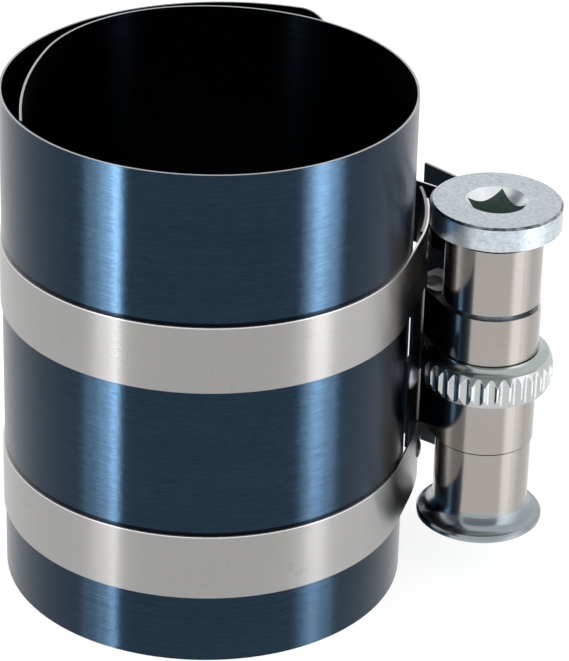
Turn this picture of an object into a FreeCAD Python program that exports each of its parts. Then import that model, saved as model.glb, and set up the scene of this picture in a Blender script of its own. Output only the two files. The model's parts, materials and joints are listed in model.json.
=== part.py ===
import FreeCAD, Part
import math
import os

# Piston ring compressor: a spiral-wound spring-steel sleeve, two steel straps around it, and a
# ratchet spindle that winds the straps in. Millimetres, +Z up. The origin is the centre of the
# sleeve's bottom opening.

# Sleeve sheet
sleeve_height = 80.0
sleeve_radius = 30.8
sheet_thickness = 0.35
overlap_start = 150.0
overlap_step = 3.5
overlap_end = 62.8
outer_corner_radius = 5.0
flap_start = 95.0
flap_bend_tighter = 5.65
flap_bend_end = 163.0
flap_tip_radius = 65.0
flap_tip_turn = 22.6
inner_corner_radius = 1.5

# Straps
strap_width = 10.55
strap_thickness = 0.3
strap_bottom_z = 11.1
strap_pitch = 34.65
sheet_edge_bend = 8.0
strap_tail_angle = 3.0
strap_end_wrap = 2.0

# Spindle axis and turned sizes
spindle_offset = 12.4
spindle_y = 1.2
coil_radius = 7.45
coil_half_turns = 8
coil_turn_gap = 0.04
coil_drum_gap = 0.05
strap_run_gap = 0.1
edge_gap = 0.1
shoulder_drop = 0.2
head_radius = 10.0
head_thickness = 3.8
head_neck = 1.55
head_chamfer = 0.35
socket_square = 6.4
socket_angle = 30.4
socket_depth = 12.0
countersink_radius = 4.7
countersink_depth = 1.6
shank_end_radius = 4.4

# Foot flange
foot_radius = 9.8
foot_rim = 1.15
foot_height = 3.8
foot_throat_radius = 7.2
foot_rim_round = 0.3
foot_flare_mid_run = 0.3
foot_flare_mid_rise = 0.32

# Ratchet wheel
wheel_radius = 10.17
wheel_tooth_height = 5.1
wheel_cone_height = 1.0
wheel_cone_radius = 7.95
wheel_cone_base = 9.3
wheel_cone_mid_run = 0.35
wheel_cone_mid_rise = 0.4
wheel_end_chamfer = 0.6
wheel_end_bevel = 1.5
tooth_count = 32
tooth_flute_depth = 0.52
tooth_land = 0.16
wheel_pin_radius = 1.0

# Ratchet housing
housing_radius = 7.7
housing_thickness = 0.45
housing_strap_gap = 0.3
housing_top_gap = 0.75
journal_clearance = 0.05
wheel_side_clearance = 0.15
wheel_rim_clearance = 0.4
housing_back_angle = 25.0
housing_left_angle = 205.0
housing_bend = 2.0
housing_back_tail = 9.0
housing_left_tail = 9.0

# Shoe plate between sleeve and spindle
shoe_radius = 39.85
shoe_bearing = 169.47
shoe_wheel_gap = 0.33
plate_thickness = 0.45
shoe_back_angle = 9.2
shoe_tongue_setback = 1.1
shoe_tongue_height = 8.5
shoe_edge_setback = 3.4

# Guard plate behind the spindle
guard_angle = 42.4
guard_distance = 9.35
guard_right = 5.0
guard_left = 24.1

# Pawl group
carrier_thickness = 0.8
carrier_width = 6.0
carrier_reach = 6.2
carrier_height = 11.6
carrier_round = 1.2
carrier_rivet_spread = 2.32
pin_along = 17.0
pin_inset = 4.0
pin_radius = 1.0
pin_clearance = 0.04
pin_head_radius = 1.4
pin_head_height = 0.4
pawl_thickness = 4.3
pawl_hub_radius = 1.9
pawl_boss_radius = 1.3
pawl_tip_angle = 95.0
pawl_tip_gap = 0.15
pawl_tip_width = 1.1
pawl_tab_angle = 123.0
pawl_tab_length = 9.4
pawl_tab_width = 2.4
pawl_pad_length = 3.2
pawl_pad_angle = 60.0
pawl_end_play = 0.2
spring_wire = 0.4
spring_turns = 3.75
spring_play = 0.1

# Rivets
rivet_radius = 1.0
rivet_head_radius = 1.5
rivet_head_height = 0.5
rivet_clearance = 0.03
rivet_hole_overrun = 1.0
rivet_spread = 7.4
strap_rivet_spacing = 5.0
shoe_rivet_radius = 1.2
shoe_rivet_dome_radius = 2.05
shoe_rivet_dome_height = 1.1
shoe_rivet_inner_height = 0.25
shoe_rivet_setback = 4.5

origin = (0.0, 0.0)
spindle_axis = (sleeve_radius + spindle_offset, spindle_y)
sleeve_bore = sleeve_radius - sheet_thickness
overlap_radius = sleeve_radius + overlap_step
flap_bend_radius = sleeve_bore - flap_bend_tighter
lower_strap_z = strap_bottom_z
upper_strap_z = strap_bottom_z + strap_pitch
straps_mid_z = strap_bottom_z + (strap_pitch + strap_width) / 2
wheel_bottom_z = straps_mid_z - wheel_tooth_height / 2
wheel_top_z = wheel_bottom_z + wheel_tooth_height + wheel_cone_height
housing_bottom_z = lower_strap_z + strap_width + housing_strap_gap
housing_top_z = upper_strap_z - housing_top_gap
journal_radius = housing_radius - housing_thickness - journal_clearance
coil_pitch = strap_thickness + coil_turn_gap
coil_inner_radius = coil_radius - strap_thickness - coil_half_turns * coil_pitch / 2
drum_radius = coil_inner_radius - coil_pitch / 2 - coil_drum_gap
head_bottom_z = upper_strap_z + strap_width + head_neck
head_top_z = head_bottom_z + head_thickness
foot_top_z = lower_strap_z - edge_gap
foot_bottom_z = foot_top_z - foot_height
full_turn = 360.0
same_point = 1e-6


def polar(centre, radius, angle):
    turn = math.radians(angle)
    return (centre[0] + radius * math.cos(turn), centre[1] + radius * math.sin(turn))


def vector(point, z=0.0):
    return FreeCAD.Vector(point[0], point[1], z)


def direction(angle):
    return FreeCAD.Vector(math.cos(math.radians(angle)), math.sin(math.radians(angle)), 0)


def tangent_angle(first, first_radius, second, second_radius):
    """Angle of the common normal of two circles that a clockwise path passes on its right."""
    dx = second[0] - first[0]
    dy = second[1] - first[1]
    slope = math.degrees(math.atan2(dy, dx))
    return slope + math.degrees(math.acos((first_radius - second_radius) / math.hypot(dx, dy)))


def unwrapped(angle, below):
    """The same direction as angle, stated at or below the given angle."""
    while angle > below:
        angle -= full_turn
    return angle


def path_edges(points_and_arcs):
    edges = []
    last = None
    for start, middle, end in points_and_arcs:
        if last is not None and last.sub(start).Length > same_point:
            edges.append(Part.LineSegment(last, start).toShape())
        if middle is not None:
            edges.append(Part.Arc(start, middle, end).toShape())
        last = end
    return edges


def ribbon(arcs, thickness, bottom_z, height, lead_in=0.0, lead_out=0.0):
    """Upright sheet along arcs (centre, radius of the right-hand face, start and end angle)."""
    right = []
    left = []
    for centre, radius, start, end in arcs:
        middle = (start + end) / 2
        other = radius + thickness if end < start else radius - thickness
        right.append([vector(polar(centre, radius, a), bottom_z) for a in (start, middle, end)])
        left.append([vector(polar(centre, other, a), bottom_z) for a in (start, middle, end)])
    if lead_in:
        clockwise = arcs[0][3] < arcs[0][2]
        back = direction(arcs[0][2] + (90 if clockwise else -90)) * lead_in
        for side in (right, left):
            begin = side[0][0].add(back)
            side.insert(0, [begin, None, begin])
    if lead_out:
        clockwise = arcs[-1][3] < arcs[-1][2]
        ahead = direction(arcs[-1][3] + (-90 if clockwise else 90)) * lead_out
        for side in (right, left):
            finish = side[-1][2].add(ahead)
            side.append([finish, None, finish])
    forward = path_edges(right)
    backward = path_edges([[c, b, a] for a, b, c in reversed(left)])
    start_cap = Part.LineSegment(left[0][0], right[0][0]).toShape()
    end_cap = Part.LineSegment(right[-1][2], left[-1][2]).toShape()
    wire = Part.Wire(forward + [end_cap] + backward + [start_cap])
    return Part.Face(wire).extrude(FreeCAD.Vector(0, 0, height))


def cylinder(radius, bottom_z, height, centre=spindle_axis):
    return Part.makeCylinder(radius, height, vector(centre, bottom_z))


def turned(profile):
    """Solid of revolution about the spindle's axis from (radius, z) points and arcs."""
    edges = []
    last = None
    for item in profile:
        points = [FreeCAD.Vector(spindle_axis[0] + r, spindle_axis[1], z) for r, z in item]
        if last is not None:
            edges.append(Part.LineSegment(last, points[0]).toShape())
        if len(points) == 3:
            edges.append(Part.Arc(points[0], points[1], points[2]).toShape())
        last = points[-1]
    first = profile[0][0]
    start = FreeCAD.Vector(spindle_axis[0] + first[0], spindle_axis[1], first[1])
    edges.append(Part.LineSegment(last, start).toShape())
    face = Part.Face(Part.Wire(edges))
    return face.revolve(vector(spindle_axis), FreeCAD.Vector(0, 0, 1), full_turn)


def slab(centre, along_angle, along, across, bottom_z, height):
    """Block with its first side along an angle: along and across are (from, to) pairs."""
    forward = direction(along_angle)
    side = direction(along_angle + 90)
    base = vector(centre, bottom_z)
    corners = [(along[0], across[0]), (along[1], across[0]), (along[1], across[1]), (along[0], across[1])]
    points = [base.add(forward * a).add(side * b) for a, b in corners]
    wire = Part.makePolygon(points + [points[0]])
    return Part.Face(wire).extrude(FreeCAD.Vector(0, 0, height))


def rod(point, z, angle, near, far, radius):
    """Cylinder across the plates: its axis is level and runs from near to far along the angle."""
    axis = direction(angle)
    return Part.makeCylinder(radius, far - near, vector(point, z).add(axis * near), axis)


def rivet(point, z, angle, grip):
    """Two-headed rivet from a point on the outer face; the grip lies behind that face."""
    shank = rod(point, z, angle, -grip, 0.0, rivet_radius)
    front = rod(point, z, angle, 0.0, rivet_head_height, rivet_head_radius)
    back = rod(point, z, angle, -grip - rivet_head_height, -grip, rivet_head_radius)
    return shank.fuse([front, back]).removeSplitter()


def rivet_hole(point, z, angle, grip):
    reach = grip + rivet_head_height
    return rod(point, z, angle, -reach, rivet_head_height, rivet_radius + rivet_clearance)


def rivets(seats, grip):
    return Part.makeCompound([rivet(point, z, angle, grip) for point, z, angle in seats])


def rivet_holes(seats, grip):
    return Part.makeCompound([rivet_hole(point, z, angle, grip) for point, z, angle in seats])


overlap_bore = overlap_radius - sheet_thickness
overlap_centre = polar(origin, sleeve_bore - overlap_bore, overlap_start)
flap_bend_centre = polar(origin, sleeve_bore - flap_bend_radius, flap_start)
flap_tip_centre = polar(flap_bend_centre, flap_bend_radius - flap_tip_radius, flap_bend_end)
overlap_from = overlap_start - full_turn
overlap_to = overlap_end - full_turn

shoe_centre = polar(spindle_axis, wheel_radius + shoe_wheel_gap + shoe_radius, shoe_bearing)
run_radius = coil_radius + strap_run_gap
run_bend_centre = polar(overlap_centre, overlap_radius - sheet_edge_bend, overlap_end)
run_angle = tangent_angle(run_bend_centre, sheet_edge_bend, spindle_axis, run_radius)
front_angle = tangent_angle(shoe_centre, shoe_radius, origin, sleeve_radius)

shoe_inner = shoe_radius - plate_thickness
shoe_angle = tangent_angle(shoe_centre, shoe_inner, origin, sleeve_radius)
shoe_bow = rivet_head_radius ** 2 / (2 * shoe_inner)

guard_along = guard_angle + 90.0


def guard_point(along, inset):
    """Point measured from the guard's inner face: inset towards the spindle, along to the left."""
    foot = polar(spindle_axis, guard_distance - inset, guard_angle)
    return polar(foot, along, guard_along)


pin_point = guard_point(pin_along, pin_inset)
pawl_bottom_z = straps_mid_z - pawl_thickness / 2
pawl_top_z = pawl_bottom_z + pawl_thickness
carrier_bottom_z = straps_mid_z - carrier_height / 2
carrier_top_z = carrier_bottom_z + carrier_height
rivet_rows = (straps_mid_z - rivet_spread, straps_mid_z + rivet_spread)


def tail_rivet_angle():
    """Angle about the shoe's centre of the rivets through the housing's left tail."""
    landing = housing_landing()
    return landing + math.degrees(housing_left_tail / 2 / shoe_radius)


def strap_rivet_angles():
    step = math.degrees(strap_rivet_spacing / shoe_radius)
    last = strap_tail_angle - step / 2
    return (last - step, last)


def round_corners(sheet, radius, end, inward_angle):
    """Round the two sheet corners at an upright end edge; the sheet runs off along the angle."""
    normal = inward_angle + 90
    pivot = polar(end, radius, inward_angle)
    margin = 2 * sheet_thickness
    side = (-sheet_thickness, margin)
    along = (-margin, radius)
    for bottom, centre_z in ((-margin, radius), (sleeve_height - radius, sleeve_height - radius)):
        corner = slab(end, inward_angle, along, side, bottom, radius + margin)
        disc = rod(pivot, centre_z, normal, -margin, margin, radius)
        sheet = sheet.cut(corner.cut(disc))
    return sheet


def sleeve_sheet():
    tip = flap_bend_end + flap_tip_turn
    arcs = [
        (flap_tip_centre, flap_tip_radius, tip, flap_bend_end),
        (flap_bend_centre, flap_bend_radius, flap_bend_end, flap_start),
        (origin, sleeve_bore, flap_start, overlap_from),
        (overlap_centre, overlap_bore, overlap_from, overlap_to),
    ]
    sheet = ribbon(arcs, sheet_thickness, 0.0, sleeve_height)
    outer_end = polar(overlap_centre, overlap_bore + sheet_thickness / 2, overlap_to)
    inner_end = polar(flap_tip_centre, flap_tip_radius + sheet_thickness / 2, tip)
    sheet = round_corners(sheet, outer_corner_radius, outer_end, overlap_end + 90)
    sheet = round_corners(sheet, inner_corner_radius, inner_end, tip - 90)
    return sheet.cut(shoe_rivet_hole())


def strap(bottom_z):
    bend_to = unwrapped(run_angle, overlap_to)
    arcs = [
        (shoe_centre, shoe_radius, strap_tail_angle, front_angle),
        (origin, sleeve_radius, front_angle, overlap_from),
        (overlap_centre, overlap_radius, overlap_from, overlap_to),
        (run_bend_centre, sheet_edge_bend, overlap_to, bend_to),
        (spindle_axis, run_radius, bend_to, bend_to - strap_end_wrap),
    ]
    band = ribbon(arcs, strap_thickness, bottom_z, strap_width)
    return band.cut(strap_holes(bottom_z))


def strap_rivet_seats(bottom_z):
    face = shoe_radius + strap_thickness
    z = bottom_z + strap_width / 2
    return [(polar(shoe_centre, face, a), z, a) for a in strap_rivet_angles()]


def strap_grip():
    return strap_thickness + plate_thickness + shoe_bow


def strap_rivets(bottom_z):
    return rivets(strap_rivet_seats(bottom_z), strap_grip())


def strap_holes(bottom_z):
    return rivet_holes(strap_rivet_seats(bottom_z), strap_grip())


def strap_coil(bottom_z):
    """The wound-in end of a strap: half turns that step inwards round the drum."""
    arcs = []
    centre = spindle_axis
    radius = coil_radius - strap_thickness
    start = run_angle
    for _ in range(coil_half_turns):
        end = start - full_turn / 2
        arcs.append((centre, radius, start, end))
        centre = polar(centre, coil_pitch / 2, end)
        radius -= coil_pitch / 2
        start = end
    return ribbon(arcs, strap_thickness, bottom_z, strap_width)


def shoe_rivet_seat():
    contact = polar(origin, sleeve_radius + plate_thickness, shoe_angle)
    return polar(contact, shoe_rivet_setback, shoe_angle + 90)


def shoe_straight():
    """Length of the shoe's straight run from its arc down to the sleeve."""
    gap = math.hypot(shoe_centre[0], shoe_centre[1])
    return math.sqrt(gap * gap - (shoe_inner - sleeve_radius) ** 2)


def shoe_rivet_gap():
    seat = shoe_rivet_seat()
    return math.hypot(seat[0], seat[1]) - sleeve_radius - plate_thickness


def shoe_rivet_hole():
    reach = plate_thickness + sheet_thickness + shoe_rivet_gap() + rivet_hole_overrun
    radius = shoe_rivet_radius + rivet_clearance
    return rod(shoe_rivet_seat(), straps_mid_z, shoe_angle, -reach, rivet_hole_overrun, radius)


def shoe_rivet():
    """Domed rivet that ties the shoe's tongue to the sleeve sheet."""
    seat = shoe_rivet_seat()
    axis = direction(shoe_angle)
    grip = plate_thickness + sheet_thickness + shoe_rivet_gap()
    shank = rod(seat, straps_mid_z, shoe_angle, -grip, 0.0, shoe_rivet_radius)
    disc = rod(seat, straps_mid_z, shoe_angle, -grip - shoe_rivet_inner_height, -grip, rivet_head_radius)
    wall = cylinder(sleeve_radius, 0.0, sleeve_height, origin)
    wall = wall.cut(cylinder(sleeve_bore, 0.0, sleeve_height, origin))
    disc = disc.cut(wall)
    ball_radius = (shoe_rivet_dome_radius ** 2 + shoe_rivet_dome_height ** 2) / (2 * shoe_rivet_dome_height)
    ball_centre = vector(seat, straps_mid_z).add(axis * (shoe_rivet_dome_height - ball_radius))
    ball = Part.makeSphere(ball_radius, ball_centre)
    dome = rod(seat, straps_mid_z, shoe_angle, 0.0, shoe_rivet_dome_height, shoe_rivet_dome_radius)
    return shank.fuse([disc, dome.common(ball)]).removeSplitter()


def shoe_plate():
    """Curved plate between sleeve and spindle that carries the straps' fixed ends."""
    bottom = lower_strap_z
    height = strap_pitch + strap_width
    straight = shoe_straight()
    tongue = straight - shoe_tongue_setback
    arcs = [(shoe_centre, shoe_inner, shoe_back_angle, shoe_angle)]
    plate = ribbon(arcs, plate_thickness, bottom, height, lead_out=tongue)
    end = polar(shoe_centre, shoe_inner, shoe_angle)
    wide = 2 * plate_thickness
    for low, high, keep in shoe_steps(bottom, height):
        trim = slab(end, shoe_angle - 90, (keep, tongue + wide), (-wide, 2 * wide), low, high - low)
        plate = plate.cut(trim)
    plate = plate.cut(shoe_rivet_hole())
    plate = plate.cut(strap_holes(lower_strap_z))
    plate = plate.cut(strap_holes(upper_strap_z))
    return plate.cut(tail_holes())


def shoe_steps(bottom, height):
    """Where the front edge steps back: behind the straps, then above and below the tongue."""
    low = straps_mid_z - shoe_tongue_height / 2
    high = straps_mid_z + shoe_tongue_height / 2
    lower_edge = lower_strap_z + strap_width + edge_gap
    upper_edge = upper_strap_z - edge_gap
    step = shoe_straight() - shoe_edge_setback
    return [
        (bottom, lower_edge, 0.0),
        (lower_edge, low, step),
        (high, upper_edge, step),
        (upper_edge, bottom + height, 0.0),
    ]


def housing_landing():
    """Angle about the shoe's centre where the housing's left tail meets the shoe's face."""
    start = polar(spindle_axis, housing_radius, housing_left_angle)
    heading = math.radians(housing_left_angle - 90)
    touch = shoe_radius + housing_thickness / 2
    dx = math.cos(heading)
    dy = math.sin(heading)
    px = start[0] - shoe_centre[0]
    py = start[1] - shoe_centre[1]
    half = px * dx + py * dy
    step = -half - math.sqrt(half * half - (px * px + py * py - touch * touch))
    return math.degrees(math.atan2(py + step * dy, px + step * dx))


def ratchet_housing():
    """Open tube round the spindle with a tail on the shoe and a tail on the guard plate."""
    bore = housing_radius - housing_thickness
    height = housing_top_z - housing_bottom_z
    bend_centre = back_bend_centre()
    arcs = [
        (bend_centre, housing_bend, guard_angle, housing_back_angle),
        (spindle_axis, bore, housing_back_angle, housing_left_angle - full_turn),
    ]
    reach = left_reach()
    tube = ribbon(arcs, housing_thickness, housing_bottom_z, height, housing_back_tail, reach)
    landing = housing_landing()
    tail_end = landing + math.degrees(housing_left_tail / shoe_radius)
    tail_arcs = [(shoe_centre, shoe_radius + housing_thickness, landing, tail_end)]
    tail = ribbon(tail_arcs, housing_thickness, housing_bottom_z, height)
    body = tube.fuse(tail)
    over = cylinder(shoe_radius, housing_bottom_z, height, shoe_centre)
    body = body.cut(over).removeSplitter()
    window_bottom = wheel_bottom_z - wheel_side_clearance
    window_height = wheel_top_z + wheel_side_clearance - window_bottom
    body = body.cut(cylinder(wheel_radius + wheel_rim_clearance, window_bottom, window_height))
    body = body.cut(tail_holes())
    return body.cut(guard_holes())


def back_bend_centre():
    """Centre of the bend between the tube's back tangent and the guard plate."""
    bore = housing_radius - housing_thickness
    face = guard_distance - housing_thickness
    turn = math.radians(guard_angle - housing_back_angle)
    base = bore - housing_bend
    along = (face - housing_bend - base * math.cos(turn)) / math.sin(turn)
    return polar(polar(spindle_axis, base, housing_back_angle), along, housing_back_angle + 90)


def left_reach():
    """Straight length from the tube to the shoe's face."""
    bore = housing_radius - housing_thickness
    start = polar(spindle_axis, bore, housing_left_angle)
    landing = polar(shoe_centre, shoe_radius + housing_thickness / 2, housing_landing())
    return math.hypot(landing[0] - start[0], landing[1] - start[1])


def tail_seats():
    angle = tail_rivet_angle()
    face = polar(shoe_centre, shoe_radius + housing_thickness, angle)
    return [(face, z, angle) for z in rivet_rows]


def tail_rivets():
    grip = housing_thickness + plate_thickness + shoe_bow
    return rivets(tail_seats(), grip)


def tail_holes():
    grip = housing_thickness + plate_thickness + shoe_bow
    return rivet_holes(tail_seats(), grip)


def guard_seats(along, rows):
    face = guard_point(along, -plate_thickness)
    return [(face, z, guard_angle) for z in rows]


def guard_tail_along():
    bend = back_bend_centre()
    dx = bend[0] - spindle_axis[0]
    dy = bend[1] - spindle_axis[1]
    turn = math.radians(guard_along)
    return dx * math.cos(turn) + dy * math.sin(turn) + housing_back_tail / 2


def guard_rivets():
    grip = housing_thickness + plate_thickness
    return rivets(guard_seats(guard_tail_along(), rivet_rows), grip)


def guard_holes():
    grip = housing_thickness + plate_thickness
    return rivet_holes(guard_seats(guard_tail_along(), rivet_rows), grip)


def carrier_rows():
    return (straps_mid_z - carrier_rivet_spread, straps_mid_z + carrier_rivet_spread)


def carrier_rivets():
    grip = carrier_thickness + plate_thickness
    return rivets(guard_seats(pin_along, carrier_rows()), grip)


def carrier_holes():
    grip = carrier_thickness + plate_thickness
    return rivet_holes(guard_seats(pin_along, carrier_rows()), grip)


def guard_plate():
    """Flat plate behind the spindle that keeps the straps on their drums."""
    foot = guard_point(0.0, 0.0)
    height = strap_pitch + strap_width
    along = (guard_right, guard_left)
    plate = slab(foot, guard_along, along, (-plate_thickness, 0.0), lower_strap_z, height)
    plate = plate.cut(guard_holes())
    return plate.cut(carrier_holes())


def pawl_carrier():
    """U-shaped bracket on the guard plate; its two ears hold the pawl's pin."""
    foot = guard_point(0.0, 0.0)
    half = carrier_width / 2
    along = (pin_along - half, pin_along + half)
    block = slab(foot, guard_along, along, (0.0, carrier_reach), carrier_bottom_z, carrier_height)
    inner = carrier_height - 2 * carrier_thickness
    inner_z = carrier_bottom_z + carrier_thickness
    wide = (along[0] - half, along[1] + half)
    hollow = slab(foot, guard_along, wide, (carrier_thickness, carrier_reach + half), inner_z, inner)
    tips = []
    for edge in block.Edges:
        middle = edge.BoundBox.Center
        if edge.BoundBox.ZLength > carrier_height / 2:
            away = middle.sub(vector(foot, middle.z))
            if away.dot(direction(guard_angle)) < -carrier_reach / 2:
                tips.append(edge)
    block = block.makeFillet(carrier_round, tips)
    bracket = block.cut(hollow)
    bracket = bracket.cut(cylinder(pin_radius, carrier_bottom_z, carrier_height, pin_point))
    return bracket.cut(carrier_holes())


def pawl_pin():
    length = carrier_height
    shaft = cylinder(pin_radius, carrier_bottom_z, length, pin_point)
    top = cylinder(pin_head_radius, carrier_top_z, pin_head_height, pin_point)
    foot = cylinder(pin_head_radius, carrier_bottom_z - pin_head_height, pin_head_height, pin_point)
    return shaft.fuse([top, foot]).removeSplitter()


def prism(points, bottom_z, height):
    corners = [vector(p, bottom_z) for p in points]
    wire = Part.makePolygon(corners + [corners[0]])
    return Part.Face(wire).extrude(FreeCAD.Vector(0, 0, height))


def pawl_tip():
    return polar(spindle_axis, wheel_radius + pawl_tip_gap, pawl_tip_angle)


def pawl_arm_angle():
    tip = pawl_tip()
    return math.degrees(math.atan2(tip[1] - pin_point[1], tip[0] - pin_point[0]))


def pawl():
    """Ratchet pawl: hub, arm towards the wheel and a thumb tab that reaches outside."""
    tip = pawl_tip()
    root_a = polar(pin_point, pawl_hub_radius, pawl_arm_angle() + 90)
    root_b = polar(pin_point, pawl_hub_radius, pawl_arm_angle() - 90)
    tip_out = polar(tip, pawl_tip_width, pawl_tip_angle)
    arm = prism([root_b, tip, tip_out, root_a], pawl_bottom_z, pawl_thickness)
    half = pawl_tab_width / 2
    side = (-half, half)
    tab = slab(pin_point, pawl_tab_angle, (0.0, pawl_tab_length), side, pawl_bottom_z, pawl_thickness)
    end = polar(pin_point, pawl_tab_length - half, pawl_tab_angle)
    pad = slab(end, pawl_pad_angle, (-half, pawl_pad_length), side, pawl_bottom_z, pawl_thickness)
    hub = cylinder(pawl_hub_radius, pawl_bottom_z, pawl_thickness, pin_point)
    boss_bottom = carrier_bottom_z + carrier_thickness + pawl_end_play
    boss_height = carrier_height - 2 * (carrier_thickness + pawl_end_play)
    boss = cylinder(pawl_boss_radius, boss_bottom, boss_height, pin_point)
    body = hub.fuse([arm, tab, pad, boss]).removeSplitter()
    body = body.cut(cylinder(wheel_radius + pawl_tip_gap, pawl_bottom_z, pawl_thickness))
    bore = cylinder(pin_radius + pin_clearance, boss_bottom, boss_height, pin_point)
    return body.cut(bore)


def pawl_spring():
    """Torsion spring round the pawl's upper boss: one leg over the arm, one on the carrier."""
    mean = pawl_boss_radius + spring_play + spring_wire / 2
    pitch = spring_wire + spring_play / 2
    bottom = pawl_top_z + spring_play + spring_wire / 2
    top = bottom + pitch * spring_turns
    begin = pawl_arm_angle() + 90
    helix = Part.makeHelix(pitch, pitch * spring_turns, mean)
    turn = FreeCAD.Rotation(FreeCAD.Vector(0, 0, 1), begin)
    helix.Placement = FreeCAD.Placement(vector(pin_point, bottom), turn)
    start = vector(polar(pin_point, mean, begin), bottom)
    finish = vector(polar(pin_point, mean, begin + full_turn * spring_turns), top)
    leg_angle = pawl_arm_angle() + 90
    reach = (pin_inset - carrier_thickness) / math.cos(math.radians(leg_angle - guard_angle))
    drop = mean * math.tan(math.radians(leg_angle - guard_angle))
    ring = Part.Wire(Part.makeCircle(spring_wire / 2, start, direction(begin + 90)))
    coil = Part.Wire(helix).makePipeShell([ring], True, True)
    arm_leg = Part.makeCylinder(spring_wire / 2, reach, start, direction(pawl_arm_angle()))
    web_leg = Part.makeCylinder(spring_wire / 2, reach + drop, finish, direction(leg_angle))
    web = slab(guard_point(0.0, 0.0), guard_along, (0.0, guard_left), (-wheel_radius, carrier_thickness),
               carrier_bottom_z, carrier_height)
    return coil.fuse([arm_leg, web_leg]).cut(web)


def spindle():
    """Turned spindle: head flange with a square socket, drums, upper journal and end shank."""
    journal_bottom = wheel_top_z
    journal_top = housing_top_z - shoulder_drop
    shoulder = head_bottom_z - head_neck + edge_gap
    profile = [
        [(0.0, foot_bottom_z)],
        [(shank_end_radius, foot_bottom_z)],
        [(shank_end_radius, foot_top_z)],
        [(drum_radius, foot_top_z)],
        [(drum_radius, journal_bottom)],
        [(journal_radius, journal_bottom)],
        [(journal_radius, journal_top)],
        [(drum_radius, journal_top)],
        [(drum_radius, shoulder)],
        [(foot_throat_radius, shoulder)],
        [(foot_throat_radius, head_bottom_z)],
        [(head_radius, head_bottom_z)],
        [(head_radius, head_top_z - head_chamfer)],
        [(head_radius - head_chamfer, head_top_z)],
        [(0.0, head_top_z)],
    ]
    body = turned(profile)
    half = socket_square / 2
    side = (-half, half)
    socket = slab(spindle_axis, socket_angle, side, side, head_top_z - socket_depth, socket_depth)
    cone = Part.makeCone(countersink_radius - countersink_depth, countersink_radius, countersink_depth,
                         vector(spindle_axis, head_top_z - countersink_depth))
    body = body.cut(socket)
    body = body.cut(cone)
    return body.cut(wheel_pin())


def wheel_pin():
    """Cross pin that locks the wheel's boss to the spindle."""
    z = (housing_bottom_z + wheel_bottom_z) / 2
    reach = journal_radius - journal_clearance
    return rod(spindle_axis, z, guard_angle, -reach, reach, wheel_pin_radius)


def ratchet_wheel():
    """Fluted ratchet wheel with its boss, which is also the spindle's lower journal."""
    boss_bottom = housing_bottom_z + shoulder_drop
    rim_top = wheel_bottom_z + wheel_tooth_height
    end_radius = wheel_radius - wheel_end_chamfer
    cone_mid_radius = wheel_cone_radius + (wheel_cone_base - wheel_cone_radius) * wheel_cone_mid_run
    cone_mid_z = rim_top + wheel_cone_height * wheel_cone_mid_rise
    profile = [
        [(drum_radius, boss_bottom)],
        [(journal_radius, boss_bottom)],
        [(journal_radius, wheel_bottom_z)],
        [(end_radius, wheel_bottom_z)],
        [(wheel_radius, wheel_bottom_z + wheel_end_bevel)],
        [(wheel_radius, rim_top - wheel_end_bevel)],
        [(end_radius, rim_top)],
        [(wheel_cone_base, rim_top), (cone_mid_radius, cone_mid_z), (wheel_cone_radius, wheel_top_z)],
        [(drum_radius, wheel_top_z)],
    ]
    wheel = turned(profile)
    pitch = 2 * math.pi * wheel_radius / tooth_count
    half = (pitch - tooth_land) / 2
    flute_radius = (half ** 2 + tooth_flute_depth ** 2) / (2 * tooth_flute_depth)
    out = wheel_radius - tooth_flute_depth + flute_radius
    flutes = []
    for index in range(tooth_count):
        angle = pawl_tip_angle + (index + 0.5) * full_turn / tooth_count
        centre = polar(spindle_axis, out, angle)
        flutes.append(cylinder(flute_radius, wheel_bottom_z, wheel_tooth_height, centre))
    wheel = wheel.cut(flutes)
    return wheel.cut(wheel_pin())


def spindle_foot():
    """Foot flange pressed on the spindle's end, flaring out like a trumpet."""
    rim_top = foot_bottom_z + foot_rim
    lip = foot_radius - foot_rim_round
    mid_radius = foot_throat_radius + (lip - foot_throat_radius) * foot_flare_mid_run
    mid_z = rim_top + (foot_top_z - rim_top) * foot_flare_mid_rise
    profile = [
        [(shank_end_radius, foot_bottom_z)],
        [(lip, foot_bottom_z)],
        [(foot_radius, foot_bottom_z + foot_rim_round)],
        [(foot_radius, rim_top - foot_rim_round)],
        [(lip, rim_top), (mid_radius, mid_z), (foot_throat_radius, foot_top_z)],
        [(shank_end_radius, foot_top_z)],
    ]
    return turned(profile)


def main():
    os.makedirs("parts", exist_ok=True)
    pieces = {
        "sleeve_sheet": sleeve_sheet(),
        "strap_lower": strap(lower_strap_z),
        "strap_upper": strap(upper_strap_z),
        "strap_rivets_lower": strap_rivets(lower_strap_z),
        "strap_rivets_upper": strap_rivets(upper_strap_z),
        "shoe_plate": shoe_plate(),
        "shoe_rivet": shoe_rivet(),
        "ratchet_housing": ratchet_housing(),
        "housing_rivets_shoe": tail_rivets(),
        "housing_rivets_guard": guard_rivets(),
        "guard_plate": guard_plate(),
        "pawl_carrier": pawl_carrier(),
        "carrier_rivets": carrier_rivets(),
        "pawl_pin": pawl_pin(),
        "pawl": pawl(),
        "pawl_spring": pawl_spring(),
        "spindle": spindle(),
        "ratchet_wheel": ratchet_wheel(),
        "wheel_pin": wheel_pin(),
        "spindle_foot": spindle_foot(),
        "coil_lower": strap_coil(lower_strap_z),
        "coil_upper": strap_coil(upper_strap_z),
    }
    for name, shape in pieces.items():
        shape.exportStep("parts/" + name + ".step")


main()
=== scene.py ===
import json
import math

import bmesh
import bpy
from bpy.props import FloatProperty, FloatVectorProperty, IntProperty
from mathutils import Matrix, Vector


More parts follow.
